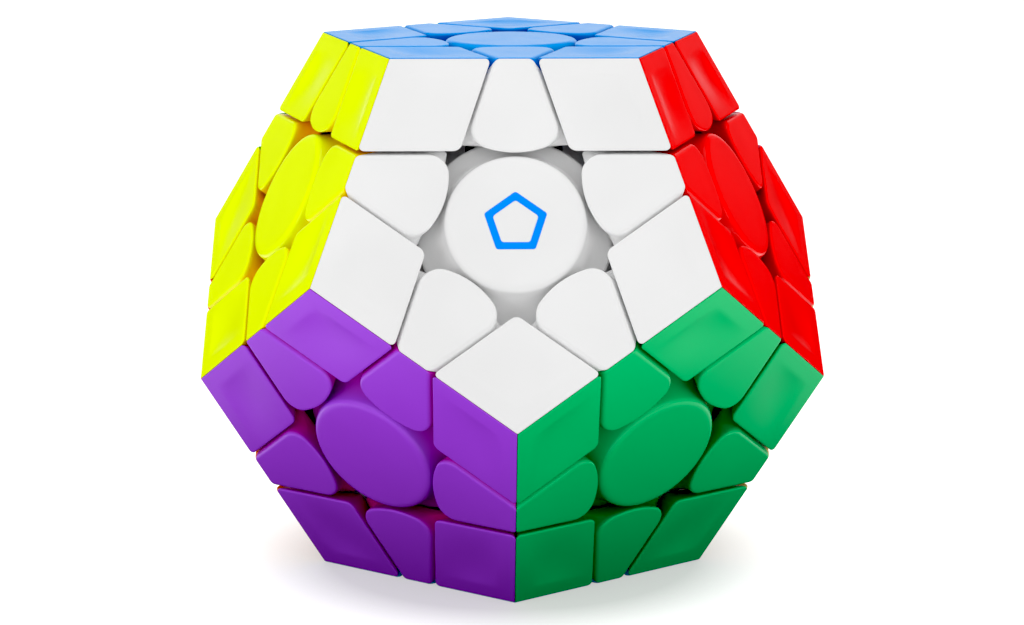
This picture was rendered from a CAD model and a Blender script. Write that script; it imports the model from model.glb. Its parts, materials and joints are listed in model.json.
import json
import math

import bpy
from mathutils import Matrix, Vector


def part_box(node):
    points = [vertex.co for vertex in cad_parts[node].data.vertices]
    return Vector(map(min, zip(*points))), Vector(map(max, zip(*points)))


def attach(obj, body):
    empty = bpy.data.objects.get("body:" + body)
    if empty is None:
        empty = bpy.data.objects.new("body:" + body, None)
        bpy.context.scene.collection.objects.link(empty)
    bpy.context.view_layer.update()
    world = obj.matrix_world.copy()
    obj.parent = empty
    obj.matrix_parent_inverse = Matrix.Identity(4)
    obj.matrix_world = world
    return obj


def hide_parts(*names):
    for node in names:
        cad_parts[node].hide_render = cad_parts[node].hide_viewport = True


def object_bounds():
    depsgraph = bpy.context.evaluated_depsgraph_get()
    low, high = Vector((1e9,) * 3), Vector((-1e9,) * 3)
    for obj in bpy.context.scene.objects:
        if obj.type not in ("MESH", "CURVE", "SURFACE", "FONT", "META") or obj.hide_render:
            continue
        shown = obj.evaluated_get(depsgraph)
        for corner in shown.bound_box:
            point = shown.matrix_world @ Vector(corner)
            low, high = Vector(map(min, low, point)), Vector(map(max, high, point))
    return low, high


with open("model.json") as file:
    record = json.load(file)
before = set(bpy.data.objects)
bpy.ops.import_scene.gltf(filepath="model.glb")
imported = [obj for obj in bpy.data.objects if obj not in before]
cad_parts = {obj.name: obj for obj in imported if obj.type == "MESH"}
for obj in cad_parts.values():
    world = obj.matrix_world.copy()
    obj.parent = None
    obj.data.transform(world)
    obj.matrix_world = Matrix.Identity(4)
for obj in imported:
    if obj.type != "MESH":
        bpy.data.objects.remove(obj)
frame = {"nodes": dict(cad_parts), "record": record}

cad_low, cad_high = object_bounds()

MM = 0.001

# ---------------------------------------------------------------- the puzzle's dimensions, in millimetres

GOLDEN = (1 + math.sqrt(5)) / 2
FACE_DIST = cad_high.z / MM
APOTHEM = FACE_DIST / GOLDEN
FACE_TILT = math.degrees(math.atan(2))

CUT_INSET = 12.0
HALF_GAP = 0.2
CUT_APOTHEM = APOTHEM - CUT_INSET
CUT_STEP = HALF_GAP / math.sin(math.radians(FACE_TILT))
TILE_DEPTH = 3.5
SEAM = 0.03
CUT_SLOPE = 0.5
SEAM_SLOPE = 1 / GOLDEN

# The rims: how far the rounding reaches from a cut wall, and from the seam with the next colour
CUT_RIM = 0.42
SEAM_RIM = 0.16

# The corners of the tiles, and the round inner end of an edge tile
END_R = 10.0
END_BULGE = 0.2
END_SIDE_R = 2.4
INNER_CORNER_R = 1.2
NOTCH_R = 0.55
VERTEX_R = 0.12
SMALLEST_R = 0.06

# Below its rounded wall, a tile spreads into a squarer foot
WALL_DEPTH, FOOT_DEPTH = 2.3, 3.1
FOOT_END_R, FOOT_R = 60.0, 0.5

# How far a tile's colour has turned to its deeper one at the rim's foot, and a little way down the wall
RIM_DEEP = 0.5
GLOW_DEPTH, GLOW_DEEP = 0.8, 0.75

# The mesh of a tile: steps round its rim, and the place of the last ring before the rim
RIM_STEPS = 6
LAST_TOP_RING = 0.975

# The scoop in a corner tile: a flat band along its two outer edges, a bend, then a shallow hollow
BAND = 2.0
BAND_BEND = 0.5
SCOOP_DEPTH = 0.34

# The centre caps: the disc, its soft rim, the flared body, and a skirt between two spheres
CAP_FLAT_R = 7.35
CAP_INNER_RINGS = (0, 2.5, 5, 6.6)
CAP_RIM_R, CAP_RIM_DEPTH, CAP_RIM_SOFT = 8.45, 0.55, 0.2
WAIST_R, WAIST_DEPTH = 9.35, 3.65
LEDGE_R, SKIRT_R = 11.2, 11.75
SKIRT_TOP_SPHERE = FACE_DIST - 2.05
SKIRT_UNDER_SPHERE = FACE_DIST - 2.55
LIP_CORNER = (0.03, -0.12)
LIP_BEVEL = 0.1
CAP_WALL = 1.5
SOCKET_R = 7.45
CAP_DEEP = 0.5
CAP_STEPS = 96

SPRING_H, SPRING_TURNS = 4.3, 4
COIL_R, WIRE_R = 2.1, 0.3
STEPS_PER_TURN, WIRE_SIDES = 36, 10

# The emblem: a pentagon ring's two corner radii, its rounding, its thickness and its bevel
EMBLEM_INNER, EMBLEM_OUTER = 2.75, 3.85
EMBLEM_ROUND = 0.4
EMBLEM_H, EMBLEM_BEVEL = 0.03, 0.02

# ---------------------------------------------------------------- faces, and which group each piece is in

FACES = ["blue", "white", "red", "pink", "light_green", "yellow",
         "green", "cream", "grey", "orange", "purple", "light_blue"]
TOP, BOTTOM = 0, 11
LAYERS = [FACES.index(name) for name in ("yellow", "red", "light_blue")]


def face_matrix(f):
    """The turn that carries a face's own frame, with an edge at +Y, to its place."""
    spin = 180 if f == TOP or f > 5 else 0
    if f == TOP:
        lean, turn = 0, 0
    elif f == BOTTOM:
        lean, turn = 180, 0
    elif f <= 5:
        lean, turn = FACE_TILT, 72 * (f - 1)
    else:
        lean, turn = 180 - FACE_TILT, 36 + 72 * (f - 6)
    return (Matrix.Rotation(math.radians(turn), 4, "Z")
            @ Matrix.Rotation(math.radians(lean), 4, "X")
            @ Matrix.Rotation(math.radians(spin), 4, "Z"))


FACE_MATRIX = [face_matrix(f) for f in range(12)]
FACE_AXIS = [m @ Vector((0, 0, 1)) for m in FACE_MATRIX]


def beyond(f, j):
    """The face beyond edge number j of face f."""
    way = math.radians(90 + 72 * j)
    tilt = math.radians(FACE_TILT)
    local = Vector((math.sin(tilt) * math.cos(way), math.sin(tilt) * math.sin(way), math.cos(tilt)))
    axis = FACE_MATRIX[f] @ local
    return min(range(12), key=lambda g: (FACE_AXIS[g] - axis).length)


def group_of(*faces):
    """The layer that a piece with these faces turns with, or None if it stays with the core."""
    return next((f for f in faces if f in LAYERS), None)


def tiles_node(f, group):
    if group == f:
        return f"{FACES[f]}_tiles"
    return f"{FACES[f]}_tiles_on_" + ("fixed" if group is None else f"{FACES[group]}_layer")


BODY_OF = {node: body for body, nodes in frame["record"]["behaviour"]["bodies"].items() for node in nodes}

# ---------------------------------------------------------------- outlines


def unit(degrees):
    a = math.radians(degrees)
    return Vector((math.cos(a), math.sin(a)))


def meet(u, a, v, b):
    """The point where the line at distance a along u meets the line at distance b along v."""
    d = u.x * v.y - u.y * v.x
    return Vector(((a * v.y - b * u.y) / d, (u.x * b - v.x * a) / d))


class Wall:
    """One side of a tile: a straight line facing an outward angle, or a round end with a radius."""

    def __init__(self, way, dist, slope, rim, radius=None):
        self.way, self.out = way, unit(way)
        self.dist, self.slope, self.rim, self.radius = dist, slope, rim, radius
        self.middle = None if radius is None else self.out * (dist - radius)

    def fillet_middle(self, other, inset, r):
        """The middle of a circle of radius r that touches this wall and the next, both set in."""
        near, far = inset * self.rim + r, inset * other.rim + r
        if self.radius is None and other.radius is None:
            return meet(self.out, self.dist - near, other.out, other.dist - far)
        line, bow = (self, other) if other.radius else (other, self)
        to_line, to_bow = (near, far) if other.radius else (far, near)
        along = Vector((-line.out.y, line.out.x))
        start = line.out * (line.dist - to_line) - bow.middle
        b, c = start.dot(along), start.dot(start) - (bow.radius - to_bow) ** 2
        root = math.sqrt(b * b - c)
        spots = [bow.middle + start + along * (-b + sign * root) for sign in (-1, 1)]
        return max(spots, key=lambda p: p.dot(bow.out))


def outline(walls, fillets, inset, side_steps):
    """Points round a tile, anticlockwise: [(point, sideways move per mm of depth, width of the rim)].

    inset is 0 for the line where the walls meet the face, and 1 for the rim's inner line. Each fillet is
    (radius, steps), and side_steps has the steps along each wall.
    """
    n = len(walls)
    corners = []
    for i, wall in enumerate(walls):
        after = walls[(i + 1) % n]
        r, steps = fillets[i]
        r = max(r - inset * (wall.rim + after.rim) / 2, SMALLEST_R)
        middle = wall.fillet_middle(after, inset, r)
        first, last = wall.way, after.way
        if wall.radius is not None:
            away = middle - wall.middle
            first = math.degrees(math.atan2(away.y, away.x))
        if after.radius is not None:
            away = middle - after.middle
            last = math.degrees(math.atan2(away.y, away.x))
        last = first + (last - first) % 360
        move = meet(wall.out, wall.slope, after.out, after.slope)
        arc = []
        for k in range(steps + 1):
            part = k / steps
            rim = wall.rim + (after.rim - wall.rim) * part
            arc.append((middle + r * unit(first + (last - first) * part), move, rim))
        corners.append(arc)
    points = []
    for i in range(n):
        arc, after = corners[i], corners[(i + 1) % n]
        wall, steps = walls[(i + 1) % n], side_steps[(i + 1) % n]
        points += arc
        (p, p_move, _), (q, q_move, _) = arc[-1], after[0]
        if wall.radius is not None:
            a, b = (math.atan2(*(s - wall.middle).yx) for s in (p, q))
            b = a + (b - a) % (2 * math.pi)
            r = (p - wall.middle).length
        for k in range(1, steps):
            part = k / steps
            move = p_move.lerp(q_move, part)
            if wall.radius is None:
                spot = p.lerp(q, part)
            else:
                turn = a + (b - a) * part
                spot = wall.middle + r * Vector((math.cos(turn), math.sin(turn)))
            points.append((spot, move, wall.rim))
    return points


def edge_tile_form(end_r, side_r, bulge):
    """An edge tile, with its outer edge at +Y: the walls anticlockwise, and the fillet after each."""
    side = CUT_APOTHEM - CUT_STEP
    walls = [
        Wall(18, side, CUT_SLOPE, CUT_RIM),
        Wall(90, APOTHEM - SEAM, -SEAM_SLOPE, SEAM_RIM),
        Wall(162, side, CUT_SLOPE, CUT_RIM),
        Wall(270, bulge - CUT_APOTHEM - CUT_STEP, -CUT_SLOPE, CUT_RIM, radius=end_r),
    ]
    return walls, [(NOTCH_R, 5), (NOTCH_R, 5), (side_r, 12), (side_r, 12)], [6, 5, 6, 12]


def corner_tile_form(inner_r):
    """A corner tile, with its outer corner at +Y."""
    inner = -(CUT_APOTHEM + CUT_STEP)
    walls = [
        Wall(54, APOTHEM - SEAM, -SEAM_SLOPE, SEAM_RIM),
        Wall(126, APOTHEM - SEAM, -SEAM_SLOPE, SEAM_RIM),
        Wall(234, inner, -CUT_SLOPE, CUT_RIM),
        Wall(306, inner, -CUT_SLOPE, CUT_RIM),
    ]
    return walls, [(VERTEX_R, 4), (NOTCH_R, 6), (inner_r, 8), (NOTCH_R, 6)], [14, 14, 14, 14]


# Scales x * (1 - x) ** 2, whose highest value is 4 / 27, to 1
SCOOP_PEAK = 27 / 4


def flat(point):
    return 0.0


def smooth_rise(x, width):
    """0 below 0 and x above width, with a rounded bend between."""
    if x <= 0:
        return 0.0
    return x * x / (2 * width) if x < width else x - width / 2


def scoop(point):
    """How deep a corner tile's hollow is at a point."""
    depth = SCOOP_DEPTH
    room = CUT_INSET - BAND
    for way in (54, 126):
        x = smooth_rise(APOTHEM - point.dot(unit(way)) - BAND, BAND_BEND) / room
        x = min(max(x, 0.0), 1.0)
        depth *= SCOOP_PEAK * x * (1 - x) ** 2
    return depth


# ---------------------------------------------------------------- meshes


class Shape:
    """Vertices and faces gathered from rings, then made into one mesh."""

    def __init__(self):
        self.points, self.faces, self.deep = [], [], []

    def ring(self, points, deep=0.0):
        """Adds points; deep is 0 on an open face and 1 down in a gap."""
        first = len(self.points)
        self.points += points
        self.deep += [deep] * len(points)
        return list(range(first, len(self.points)))

    def band(self, a, b):
        """Quads between two rings of the same length; seen from outside, b is below a."""
        n = len(a)
        for i in range(n):
            j = (i + 1) % n
            self.faces.append((a[i], b[i], b[j], a[j]))

    def fan(self, ring, point, up=True):
        tip = self.ring([point], self.deep[ring[0]])[0]
        n = len(ring)
        for i in range(n):
            j = (i + 1) % n
            self.faces.append((ring[i], ring[j], tip) if up else (ring[j], ring[i], tip))

    def add(self, other, matrix):
        first = len(self.points)
        self.points += [matrix @ p for p in other.points]
        self.faces += [tuple(first + i for i in face) for face in other.faces]
        self.deep += other.deep

    def build(self, name, material):
        mesh = bpy.data.meshes.new(name)
        mesh.from_pydata([p * MM for p in self.points], [], self.faces)
        mesh.polygons.foreach_set("use_smooth", [True] * len(mesh.polygons))
        mesh.attributes.new("deep", "FLOAT", "POINT").data.foreach_set("value", self.deep)
        mesh.update()
        mesh.materials.append(material)
        made = bpy.data.objects.new(name, mesh)
        bpy.context.scene.collection.objects.link(made)
        return made


def tile_shape(form, foot_form, sculpt, inner_rings):
    """One tile about +Z, its face at FACE_DIST: top, rounded rim, leaning walls and a squarer foot."""
    walls, fillets, steps = form
    line = outline(walls, fillets, 0, steps)
    foot_line = outline(foot_form[0], foot_form[1], 0, steps)
    rim_line = outline(walls, fillets, 1, steps)
    shape = Shape()
    middle = sum((p for p, _, _ in rim_line), Vector((0, 0))) / len(rim_line)

    def lift(p, z):
        return Vector((p.x, p.y, FACE_DIST + z))

    def top_ring(share):
        flat_points = [middle.lerp(p, share) for p, _, _ in rim_line]
        return shape.ring([lift(p, -sculpt(p)) for p in flat_points])

    rings = [top_ring(k / inner_rings) for k in range(1, inner_rings)]
    rings += [top_ring(LAST_TOP_RING), top_ring(1)]
    shape.fan(rings[0], lift(middle, -sculpt(middle)))
    for k in range(1, RIM_STEPS + 1):
        u = k / RIM_STEPS
        ring = []
        for (p, move, rim), (q, _, _) in zip(line, rim_line):
            drop = Vector((p.x + move.x * rim, p.y + move.y * rim))
            spot = (1 - u) ** 2 * q + 2 * u * (1 - u) * p + u * u * drop
            ring.append(lift(spot, -u * u * rim - (1 - u) ** 2 * sculpt(q)))
        rings.append(shape.ring(ring, RIM_DEEP * u ** 3))
    sides = [(line, GLOW_DEPTH, GLOW_DEEP), (line, WALL_DEPTH, 1.0),
             (foot_line, FOOT_DEPTH, 1.0), (foot_line, TILE_DEPTH, 1.0)]
    for side, depth, deep in sides:
        rings.append(shape.ring([lift(p + depth * move, -depth) for p, move, _ in side], deep))
    for a, b in zip(rings, rings[1:]):
        shape.band(a, b)
    centre = sum((p + TILE_DEPTH * move for p, move, _ in foot_line), Vector((0, 0))) / len(foot_line)
    shape.fan(rings[-1], lift(centre, -TILE_DEPTH), up=False)
    return shape


def revolve(profile, steps):
    """A solid of revolution about +Z from [(radius, z)], which starts and ends on the axis."""
    shape = Shape()
    rings = []
    for radius, z in profile[1:-1]:
        deep = CAP_DEEP * min(max((FACE_DIST - z - CAP_RIM_DEPTH) / (TILE_DEPTH - CAP_RIM_DEPTH), 0.0), 1.0)
        rings.append(shape.ring([Vector((radius * math.cos(a), radius * math.sin(a), z))
                                 for a in (2 * math.pi * k / steps for k in range(steps))], deep))
    for a, b in zip(rings, rings[1:]):
        shape.band(a, b)
    shape.fan(rings[0], Vector((0, 0, profile[0][1])))
    shape.fan(rings[-1], Vector((0, 0, profile[-1][1])), up=False)
    return shape


def on_sphere(sphere_r, r):
    """The point of a cap's profile at radius r on a sphere about the puzzle's middle."""
    return Vector((r, math.sqrt(sphere_r ** 2 - r ** 2)))


def bend(start, hold, end, steps):
    """Points along a smooth bend that leaves start and reaches end in the directions of hold."""
    return [(1 - u) ** 2 * start + 2 * u * (1 - u) * hold + u * u * end
            for u in (k / steps for k in range(1, steps + 1))]


def cap_profile():
    """A flat disc with a soft rim, a body that flares into a thin skirt, then the socket underneath."""
    top = FACE_DIST
    flat_end = Vector((CAP_FLAT_R, top))
    rim = Vector((CAP_RIM_R, top - CAP_RIM_DEPTH))
    waist = Vector((WAIST_R, top - WAIST_DEPTH))
    ledge = on_sphere(SKIRT_TOP_SPHERE, LEDGE_R)
    lip = on_sphere(SKIRT_TOP_SPHERE, SKIRT_R)
    rim_hold = Vector((CAP_RIM_R - CAP_RIM_SOFT, top))
    flat_rings = (*CAP_INNER_RINGS, CAP_FLAT_R - CAP_RIM_SOFT, CAP_FLAT_R)
    points = [Vector((r, top)) for r in flat_rings]
    points += bend(flat_end, rim_hold, rim, 12)
    points += bend(rim, waist, ledge, 16)
    points += bend(ledge, ledge.lerp(lip, 0.5), lip, 2)
    points.append(lip + Vector(LIP_CORNER))
    points += [on_sphere(SKIRT_UNDER_SPHERE, SKIRT_R - LIP_BEVEL), on_sphere(SKIRT_UNDER_SPHERE, SOCKET_R)]
    points += [Vector((SOCKET_R, top - CAP_WALL)), Vector((0, top - CAP_WALL))]
    return points


# ---------------------------------------------------------------- materials


def linear(channel):
    return channel / 12.92 if channel <= 0.04045 else ((channel + 0.055) / 1.055) ** 2.4


def paint(code):
    """A linear colour from a six-digit sRGB code."""
    return [linear(int(code[i:i + 2], 16) / 255) for i in (0, 2, 4)] + [1.0]


def new_material(name):
    """A material with nodes: itself, its nodes, its links and its shader."""
    material = bpy.data.materials.new(name)
    material.use_nodes = True
    nodes = material.node_tree.nodes
    return material, nodes, material.node_tree.links, nodes["Principled BSDF"]


def map_range(nodes, from_min, from_max, to_min, to_max):
    made = nodes.new("ShaderNodeMapRange")
    made.inputs["From Min"].default_value = from_min
    made.inputs["From Max"].default_value = from_max
    made.inputs["To Min"].default_value = to_min
    made.inputs["To Max"].default_value = to_max
    return made


# The scales of the noises: clouds of colour, smears of gloss, grain, and turned scratches; then the grain's
# height, the plastics' gloss, the noise values between which the clouds change, and the steels' values
CLOUD_SCALE, SMEAR_SCALE, GRAIN_SCALE, SCRATCH_SCALE = 60, 240, 5200, 2600
BUMP_HEIGHT = 0.0001
PLASTIC_IOR, PLASTIC_GLOSS = 1.5, 0.16
CLOUD_LOW, CLOUD_HIGH = 0.35, 0.65
STEEL_DARK, STEEL_GRAIN = 0.82, 0.08
STEEL_SHARPER, STEEL_DULLER = 0.08, 0.1


def plastic(name, code, deep_code=None, rough=0.24, spread=0.03, tone=0.02, grain=0.02):
    """Moulded plastic: faint clouds of colour and gloss, a fine grain, and a deeper colour in the gaps."""
    material, nodes, links, shader = new_material(name)
    shader.inputs["IOR"].default_value = PLASTIC_IOR
    shader.inputs["Specular IOR Level"].default_value = PLASTIC_GLOSS
    place = nodes.new("ShaderNodeTexCoord")

    def noise(scale, detail):
        made = nodes.new("ShaderNodeTexNoise")
        made.inputs["Scale"].default_value = scale
        made.inputs["Detail"].default_value = detail
        links.new(place.outputs["Object"], made.inputs["Vector"])
        return made.outputs["Fac"]

    colour = paint(code)
    clouds = nodes.new("ShaderNodeValToRGB")
    clouds.color_ramp.elements[0].position = CLOUD_LOW
    clouds.color_ramp.elements[1].position = CLOUD_HIGH
    clouds.color_ramp.elements[0].color = [c * (1 - tone) for c in colour[:3]] + [1]
    clouds.color_ramp.elements[1].color = [min(c * (1 + tone), 1) for c in colour[:3]] + [1]
    links.new(noise(CLOUD_SCALE, 2), clouds.inputs["Fac"])

    depth = nodes.new("ShaderNodeAttribute")
    depth.attribute_name = "deep"
    blend = nodes.new("ShaderNodeMix")
    blend.data_type = "RGBA"
    share, first, second, result = blend.inputs[0], blend.inputs[6], blend.inputs[7], blend.outputs[2]
    second.default_value = paint(deep_code or code)
    links.new(depth.outputs["Fac"], share)
    links.new(clouds.outputs["Color"], first)
    links.new(result, shader.inputs["Base Color"])

    gloss = map_range(nodes, 0.3, 0.7, rough - spread, rough + spread)
    links.new(noise(SMEAR_SCALE, 4), gloss.inputs["Value"])
    links.new(gloss.outputs["Result"], shader.inputs["Roughness"])

    bump = nodes.new("ShaderNodeBump")
    bump.inputs["Strength"].default_value = grain
    bump.inputs["Distance"].default_value = BUMP_HEIGHT
    links.new(noise(GRAIN_SCALE, 2), bump.inputs["Height"])
    links.new(bump.outputs["Normal"], shader.inputs["Normal"])
    return material


def metal(name, code, rough):
    """Steel with fine turned scratches."""
    material, nodes, links, shader = new_material(name)
    shader.inputs["Metallic"].default_value = 1.0
    place = nodes.new("ShaderNodeTexCoord")
    scratch = nodes.new("ShaderNodeTexNoise")
    scratch.inputs["Scale"].default_value = SCRATCH_SCALE
    scratch.inputs["Detail"].default_value = 4
    links.new(place.outputs["Object"], scratch.inputs["Vector"])
    tones = nodes.new("ShaderNodeValToRGB")
    colour = paint(code)
    tones.color_ramp.elements[0].color = [c * STEEL_DARK for c in colour[:3]] + [1]
    tones.color_ramp.elements[1].color = colour
    links.new(scratch.outputs["Fac"], tones.inputs["Fac"])
    links.new(tones.outputs["Color"], shader.inputs["Base Color"])
    gloss = map_range(nodes, 0, 1, rough - STEEL_SHARPER, rough + STEEL_DULLER)
    links.new(scratch.outputs["Fac"], gloss.inputs["Value"])
    links.new(gloss.outputs["Result"], shader.inputs["Roughness"])
    bump = nodes.new("ShaderNodeBump")
    bump.inputs["Strength"].default_value = STEEL_GRAIN
    bump.inputs["Distance"].default_value = BUMP_HEIGHT
    links.new(scratch.outputs["Fac"], bump.inputs["Height"])
    links.new(bump.outputs["Normal"], shader.inputs["Normal"])
    return material


# Each face's colour, and the deeper one that its walls glow with in the gaps
FACE_CODES = {
    "blue": ("0896E8", "0B62D0"), "white": ("D9D9D9", "FFFFFF"), "red": ("F40104", "B40000"),
    "pink": ("F2508E", "C01850"), "light_green": ("62D818", "2E9A00"), "yellow": ("E0F402", "FFB400"),
    "green": ("00BD6C", "009044"), "cream": ("F4E39C", "D8B050"), "grey": ("8C8F92", "5A5C60"),
    "orange": ("FF7A00", "D84800"), "purple": ("9D48DA", "C8008C"), "light_blue": ("58BAF2", "1C86D0"),
}
FACE_PLASTIC = {name: plastic(f"{name}_plastic", *codes) for name, codes in FACE_CODES.items()}
INNER_PLASTIC = plastic("inner_plastic", "D8D8DA", rough=0.5, spread=0.08, tone=0.08, grain=0.2)
CORE_PLASTIC = plastic("core_plastic", "8A8C90", rough=0.5, spread=0.08, tone=0.08, grain=0.2)
NUT_PLASTIC = plastic("nut_plastic", "C8501E", rough=0.42, spread=0.08, tone=0.08, grain=0.2)
EMBLEM_INK = plastic("emblem_ink", "0085F2", rough=0.4)
SCREW_STEEL = metal("screw_steel", "B9BCC0", 0.32)
SPRING_STEEL = metal("spring_steel", "AEB0B4", 0.22)

# ---------------------------------------------------------------- the pieces


def place_piece(piece, node):
    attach(piece, BODY_OF[node])
    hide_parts(node)
    return piece


def make_tiles():
    """For each colour, one piece for each group of pieces that its tiles are on."""
    edge_form = edge_tile_form(END_R, END_SIDE_R, END_BULGE)
    edge_foot = edge_tile_form(FOOT_END_R, FOOT_R, 0)
    edge_tile = tile_shape(edge_form, edge_foot, flat, 4)
    corner_tile = tile_shape(corner_tile_form(INNER_CORNER_R), corner_tile_form(FOOT_R), scoop, 20)
    for f, colour in enumerate(FACES):
        gathered = {}
        for j in range(5):
            edge_turn = Matrix.Rotation(math.radians(72 * j), 4, "Z")
            corner_turn = Matrix.Rotation(math.radians(72 * j + 36), 4, "Z")
            beside, after = beyond(f, j), beyond(f, j + 1)
            for shape, turn, group in ((edge_tile, edge_turn, group_of(f, beside)),
                                       (corner_tile, corner_turn, group_of(f, beside, after))):
                gathered.setdefault(group, Shape()).add(shape, FACE_MATRIX[f] @ turn)
        for group, shape in gathered.items():
            node = tiles_node(f, group)
            piece = shape.build(f"{node}_moulded", FACE_PLASTIC[colour])
            place_piece(piece, node)


def make_caps():
    cap = revolve(cap_profile(), CAP_STEPS)
    for f, colour in enumerate(FACES):
        shape = Shape()
        shape.add(cap, FACE_MATRIX[f])
        node = f"{colour}_centre_cap"
        place_piece(shape.build(f"{node}_moulded", FACE_PLASTIC[colour]), node)


def make_springs():
    """Twelve round-wire coils, each as high as its CAD spring."""
    node = "centre_springs"
    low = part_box(node)[1].z / MM - SPRING_H
    coil = Shape()
    rings = []
    count = SPRING_TURNS * STEPS_PER_TURN
    for i in range(count + 1):
        t = i / count
        turn = 2 * math.pi * SPRING_TURNS * t
        out = Vector((math.cos(turn), math.sin(turn), 0))
        mid = COIL_R * out + Vector((0, 0, low + WIRE_R + (SPRING_H - 2 * WIRE_R) * t))
        rings.append(coil.ring([mid + WIRE_R * (math.cos(b) * out + Vector((0, 0, math.sin(b))))
                                for b in (-2 * math.pi * k / WIRE_SIDES for k in range(WIRE_SIDES))]))
    for a, b in zip(rings, rings[1:]):
        coil.band(a, b)
    coil.faces += [tuple(reversed(rings[0])), tuple(rings[-1])]
    shape = Shape()
    for matrix in FACE_MATRIX:
        shape.add(coil, matrix)
    place_piece(shape.build("centre_springs_coiled", SPRING_STEEL), node)


def make_emblem():
    """A plain blue pentagon ring printed on the white cap, a few hundredths of a millimetre thick."""
    shape = Shape()
    rings = []
    section = ((EMBLEM_INNER, 0.0), (EMBLEM_INNER + EMBLEM_BEVEL, EMBLEM_H),
               (EMBLEM_OUTER - EMBLEM_BEVEL, EMBLEM_H), (EMBLEM_OUTER, 0.0))
    for r, z in section:
        ring = []
        for k in range(5):
            middle = (r - EMBLEM_ROUND) * unit(90 + 72 * k)
            ring += [middle + EMBLEM_ROUND * unit(54 + 72 * k + 12 * step) for step in range(7)]
        rings.append(shape.ring([Vector((p.x, p.y, FACE_DIST + z)) for p in ring]))
    for a, b in zip(rings, rings[1:]):
        shape.band(a, b)
    shape.band(rings[-1], rings[0])
    placed = Shape()
    placed.add(shape, FACE_MATRIX[FACES.index("white")])
    piece = placed.build("white_cap_emblem", EMBLEM_INK)
    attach(piece, BODY_OF["white_centre_cap"])


def finish_inner_parts():
    """The parts inside keep their CAD shapes and get their own materials."""
    for name, thing in frame["nodes"].items():
        if name.startswith("feet_"):
            material = INNER_PLASTIC
        elif name == "core":
            material = CORE_PLASTIC
        elif name == "tension_nuts":
            material = NUT_PLASTIC
        elif name == "centre_screws":
            material = SCREW_STEEL
        elif name.endswith("_centre_base"):
            material = FACE_PLASTIC[name[:-len("_centre_base")]]
        else:
            continue
        thing.data.materials.clear()
        thing.data.materials.append(material)


make_tiles()
make_caps()
make_springs()
make_emblem()
finish_inner_parts()

# ---------------------------------------------------------------- floor, lights and camera

# The room's light on the object, what shiny surfaces see of it, and how white the camera sees it
ROOM_LIGHT = 0.82
ROOM_GLOSS = 0.08
ROOM_WHITE = 1.05

# The sheet behind the puzzle, as the +Y part of a direction: where it begins and where it is fully white
SHEET_EDGE, SHEET_FULL = 0.86, 0.95

# The floor as the camera sees it: its tone, its glow beside the puzzle, and where that fades to full white
FLOOR_HALF = 6.0
FLOOR_TONE = 0.35
FLOOR_GLOW = 0.48
GLOW_NEAR, GLOW_FAR = 0.024, 0.038
GLOW_MIDDLE_Y = -0.004

# The light that it sends up to the puzzle, which grows from none over these distances from the middle
FLOOR_SEND = 0.25
SEND_NEAR, SEND_FAR = 0.042, 0.095

# Its sheen for shiny surfaces: a bright ring that rises and falls over these distances, and is faint beyond
FLOOR_SHEEN = 2.8
SHEEN_RISE = (0.046, 0.078)
SHEEN_FALL = (0.09, 0.2)
SHEEN_FAINT = 0.01

# The darkest value that the view shows above black
BLACK_LEVEL = 0.018

# The camera's angles in degrees, its distance from what it looks at, and its lens in millimetres
CAMERA_AZIMUTH, CAMERA_ELEVATION = -1.03, 12.16
CAMERA_DISTANCE = 0.3614
CAMERA_TARGET = (0.0001, 0, -0.00227)
CAMERA_LENS = 97.88


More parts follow.
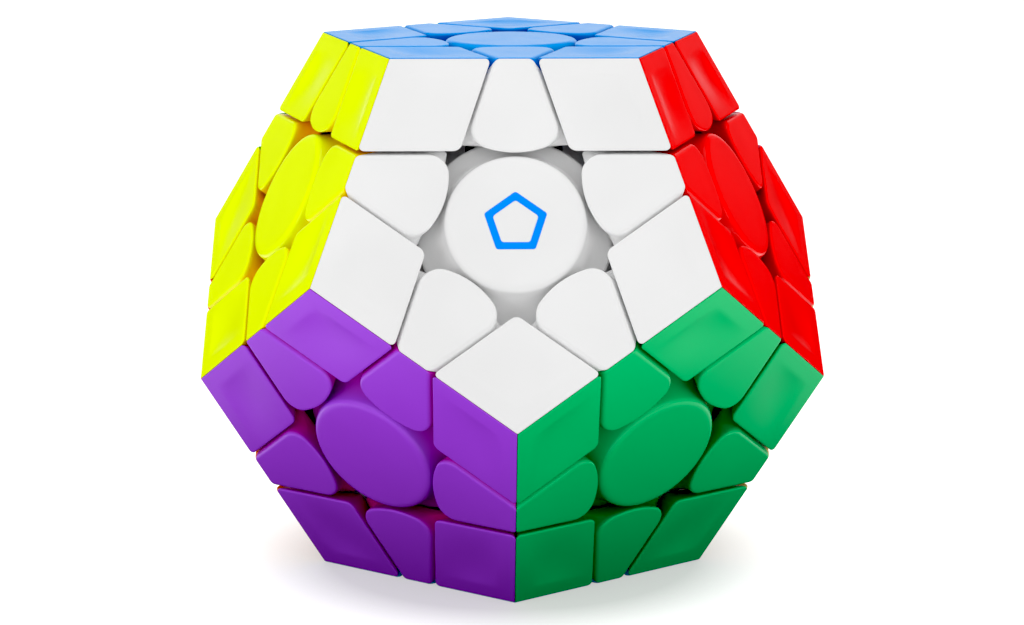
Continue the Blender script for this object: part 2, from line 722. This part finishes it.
def make_floor():
    """A white floor with a glow for the camera, light for the puzzle and a sheen for shiny surfaces."""
    mesh = bpy.data.meshes.new("floor")
    square = [(x * FLOOR_HALF, y * FLOOR_HALF, cad_low.z) for x, y in ((-1, -1), (1, -1), (1, 1), (-1, 1))]
    mesh.from_pydata(square, [], [(0, 1, 2, 3)])
    floor = bpy.data.objects.new("floor", mesh)
    bpy.context.scene.collection.objects.link(floor)
    material, nodes, links, seen = new_material("floor_paper")
    seen.inputs["Base Color"].default_value = (FLOOR_TONE, FLOOR_TONE, FLOOR_TONE, 1)
    seen.inputs["Roughness"].default_value = 0.9
    seen.inputs["Specular IOR Level"].default_value = 0.0
    seen.inputs["Emission Color"].default_value = (1, 1, 1, 1)
    place = nodes.new("ShaderNodeTexCoord")

    def by_distance(middle_y, near, far, low, high):
        """low within near of the point (0, middle_y) of the floor, and high beyond far."""
        away = nodes.new("ShaderNodeVectorMath")
        away.operation = "DISTANCE"
        away.inputs[1].default_value = (0, middle_y, cad_low.z)
        links.new(place.outputs["Object"], away.inputs[0])
        made = map_range(nodes, near, far, low, high)
        links.new(away.outputs["Value"], made.inputs["Value"])
        return made

    glow = by_distance(GLOW_MIDDLE_Y, GLOW_NEAR, GLOW_FAR, FLOOR_GLOW, 1.0)
    links.new(glow.outputs["Result"], seen.inputs["Emission Strength"])
    bounce = by_distance(0, SEND_NEAR, SEND_FAR, 0.0, 1.0)
    scattered = nodes.new("ShaderNodeBsdfDiffuse")
    links.new(bounce.outputs["Result"], scattered.inputs["Color"])
    send = by_distance(0, SEND_NEAR, SEND_FAR, 0.0, FLOOR_SEND)
    sent = nodes.new("ShaderNodeEmission")
    links.new(send.outputs["Result"], sent.inputs["Strength"])
    lit = nodes.new("ShaderNodeAddShader")
    links.new(scattered.outputs["BSDF"], lit.inputs[0])
    links.new(sent.outputs["Emission"], lit.inputs[1])

    rise = by_distance(0, *SHEEN_RISE, 0.0, FLOOR_SHEEN)
    fall = by_distance(0, *SHEEN_FALL, 1.0, SHEEN_FAINT)
    sheen = nodes.new("ShaderNodeMath")
    sheen.operation = "MULTIPLY"
    links.new(rise.outputs["Result"], sheen.inputs[0])
    links.new(fall.outputs["Result"], sheen.inputs[1])
    shine = nodes.new("ShaderNodeEmission")
    links.new(sheen.outputs["Value"], shine.inputs["Strength"])

    ray = nodes.new("ShaderNodeLightPath")
    unseen = nodes.new("ShaderNodeMixShader")
    links.new(ray.outputs["Is Glossy Ray"], unseen.inputs["Fac"])
    links.new(lit.outputs["Shader"], unseen.inputs[1])
    links.new(shine.outputs["Emission"], unseen.inputs[2])
    mix = nodes.new("ShaderNodeMixShader")
    links.new(ray.outputs["Is Camera Ray"], mix.inputs["Fac"])
    links.new(unseen.outputs["Shader"], mix.inputs[1])
    links.new(seen.outputs["BSDF"], mix.inputs[2])
    links.new(mix.outputs["Shader"], nodes["Material Output"].inputs["Surface"])
    mesh.materials.append(material)


def make_light(name, place, size, watts):
    """A soft rectangular light that points at the puzzle."""
    light = bpy.data.lights.new(name, "AREA")
    light.shape = "RECTANGLE"
    light.size, light.size_y = size
    light.energy = watts
    lamp = bpy.data.objects.new(name, light)
    lamp.location = place
    lamp.rotation_mode = "QUATERNION"
    lamp.rotation_quaternion = (Vector() - Vector(place)).to_track_quat("-Z", "Y")
    bpy.context.scene.collection.objects.link(lamp)


def make_world():
    """An even soft room, white to the camera; shiny surfaces see only a white sheet behind the puzzle."""
    world = bpy.data.worlds.new("studio")
    world.use_nodes = True
    nodes, links = world.node_tree.nodes, world.node_tree.links

    def light(strength):
        made = nodes.new("ShaderNodeBackground")
        made.inputs["Color"].default_value = (1, 1, 1, 1)
        made.inputs["Strength"].default_value = strength
        return made

    def mix(factor, first, second):
        made = nodes.new("ShaderNodeMixShader")
        links.new(factor, made.inputs["Fac"])
        links.new(first.outputs[0], made.inputs[1])
        links.new(second.outputs[0], made.inputs[2])
        return made

    ray = nodes.new("ShaderNodeLightPath")
    direction = nodes.new("ShaderNodeTexCoord")
    split = nodes.new("ShaderNodeSeparateXYZ")
    links.new(direction.outputs["Generated"], split.inputs["Vector"])
    sheet = map_range(nodes, SHEET_EDGE, SHEET_FULL, ROOM_GLOSS, 1.0)
    sheet.interpolation_type = "SMOOTHSTEP"
    links.new(split.outputs["Y"], sheet.inputs["Value"])
    shiny = light(1.0)
    links.new(sheet.outputs["Result"], shiny.inputs["Strength"])
    lit = mix(ray.outputs["Is Glossy Ray"], light(ROOM_LIGHT), shiny)
    seen = mix(ray.outputs["Is Camera Ray"], lit, light(ROOM_WHITE))
    links.new(seen.outputs[0], nodes["World Output"].inputs["Surface"])
    bpy.context.scene.world = world


def make_camera():
    azimuth, elevation = math.radians(CAMERA_AZIMUTH), math.radians(CAMERA_ELEVATION)
    target = Vector(CAMERA_TARGET)
    back = Vector((math.sin(azimuth) * math.cos(elevation),
                   -math.cos(azimuth) * math.cos(elevation),
                   math.sin(elevation)))
    data = bpy.data.cameras.new("camera")
    data.sensor_width = 36
    data.lens = CAMERA_LENS
    camera = bpy.data.objects.new("camera", data)
    camera.location = target + CAMERA_DISTANCE * back
    camera.rotation_mode = "QUATERNION"
    camera.rotation_quaternion = (-back).to_track_quat("-Z", "Y")
    bpy.context.scene.collection.objects.link(camera)
    bpy.context.scene.camera = camera


make_floor()
make_world()
make_light("overhead", (0, 0, 1.2), (1.2, 1.2), 5.0)
make_light("left", (-0.8, -0.6, 0.05), (0.6, 0.8), 3.0)
make_light("right", (0.8, -0.6, 0.05), (0.6, 0.8), 2.6)
make_camera()
view = bpy.context.scene.view_settings
view.view_transform = "Standard"
view.use_curve_mapping = True
view.curve_mapping.black_level = (BLACK_LEVEL, BLACK_LEVEL, BLACK_LEVEL)
